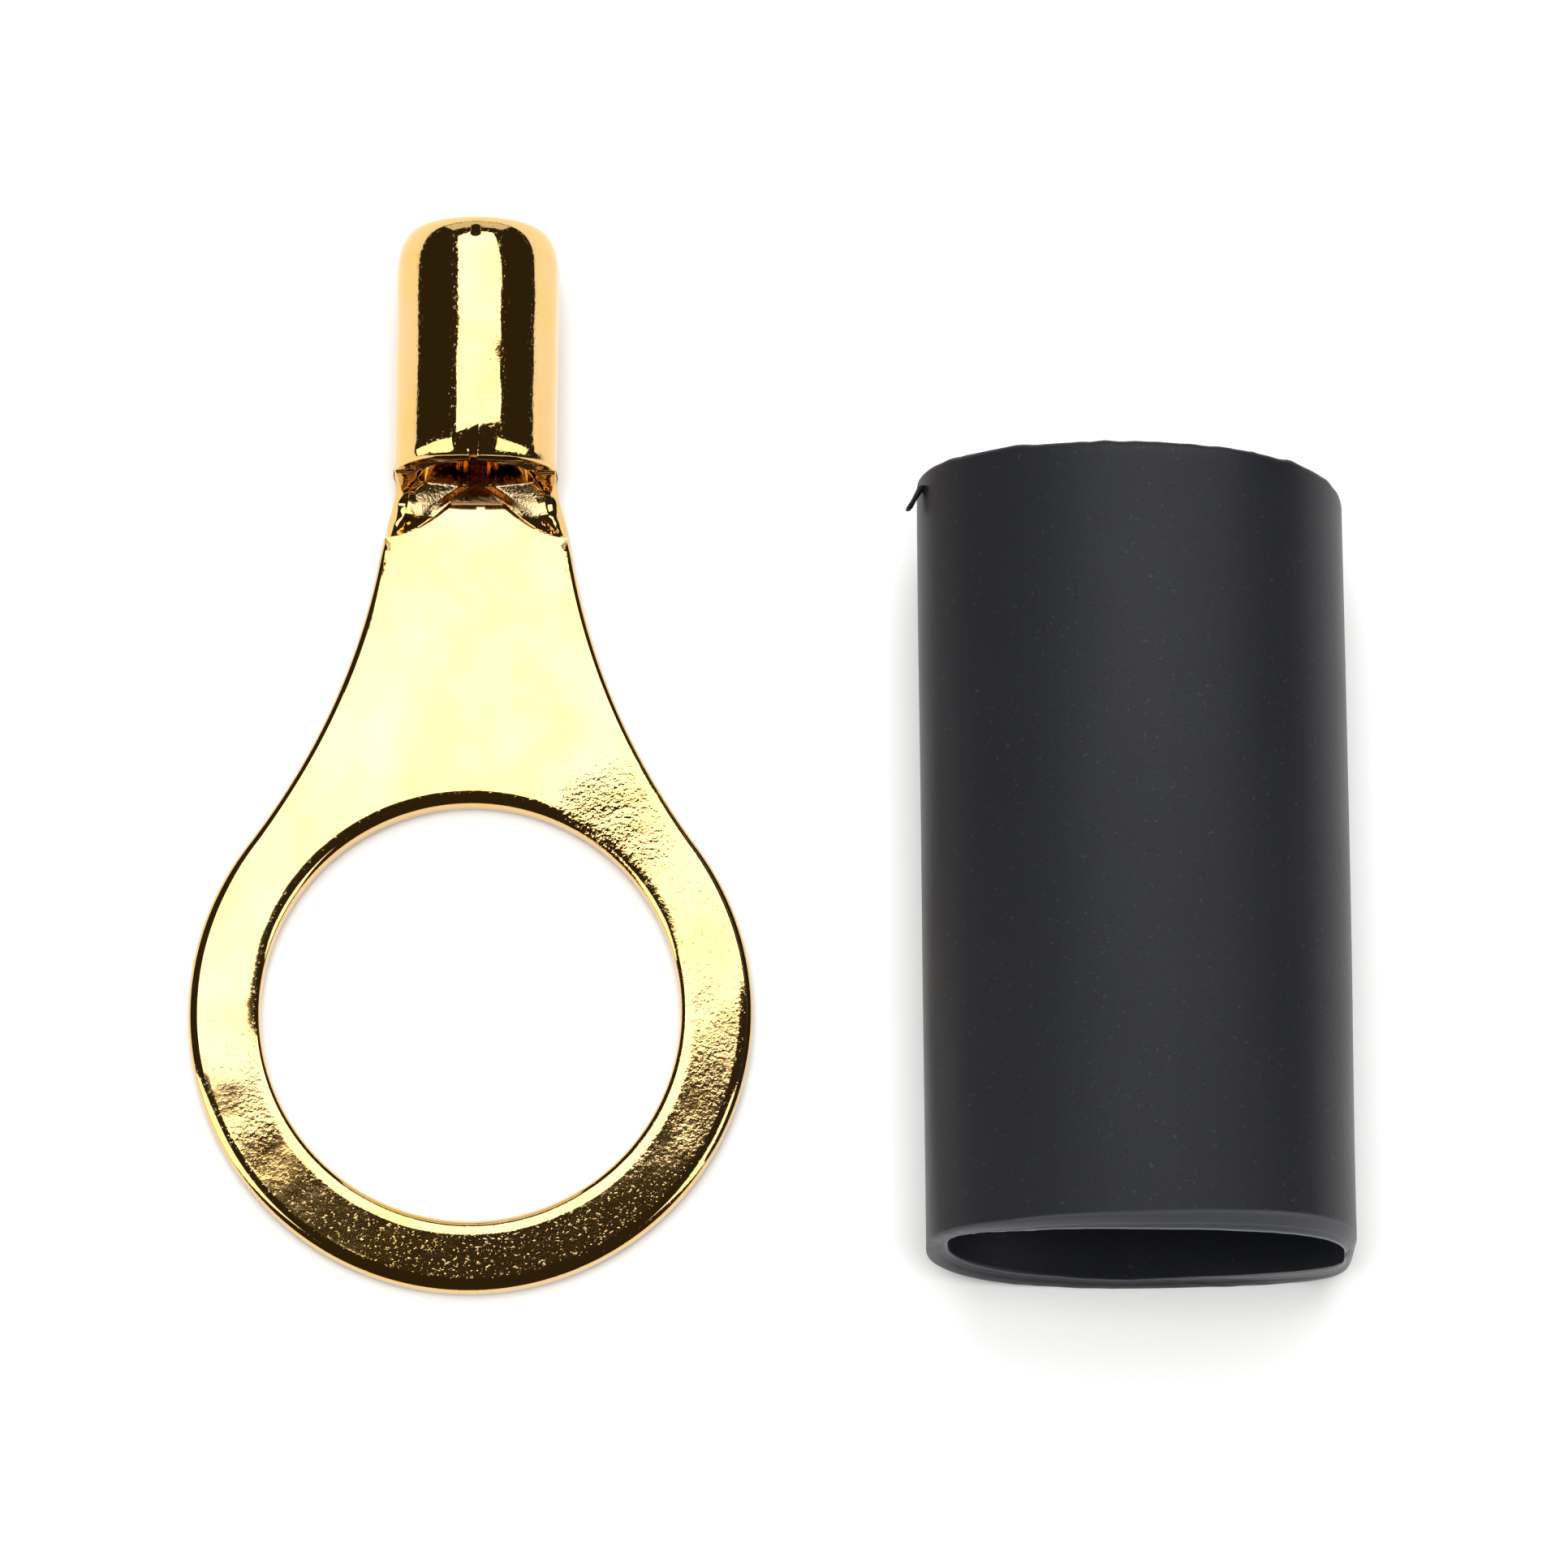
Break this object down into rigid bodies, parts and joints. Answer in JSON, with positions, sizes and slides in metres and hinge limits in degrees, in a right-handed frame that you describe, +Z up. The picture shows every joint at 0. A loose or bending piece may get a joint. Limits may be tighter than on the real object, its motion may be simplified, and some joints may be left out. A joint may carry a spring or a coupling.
{
  "type": "ring crimp terminal with sleeve",
  "caption": "Gold-plated ring crimp terminal with a closed wire barrel, and the loose black insulating sleeve that covers the barrel.",
  "frame": {"origin": "centre of the stud hole, on the terminal's underside", "axes": "+Y along the tongue and barrel towards the wire end, +Z up out of the stud hole, away from the underside that all the pieces lie on; the sleeve is at +X"},
  "size_m": [0.0289, 0.0268, 0.0078],
  "materials": {
    "gold_plate": "bright gold plating on copper, finely pitted on the ring",
    "black_tube": "satin black extruded tube"
  },
  "bodies": {
    "terminal": {"ring_terminal": "gold_plate", "seam_braze": "gold_plate"},
    "sleeve": {"insulating_sleeve": "black_tube"}
  },
  "joints": [
    {"name": "sleeve_slide", "type": "slide", "parent": "terminal", "child": "sleeve", "axis": [0, 1, 0], "range_m": [0, 0.0275]}
  ]
}
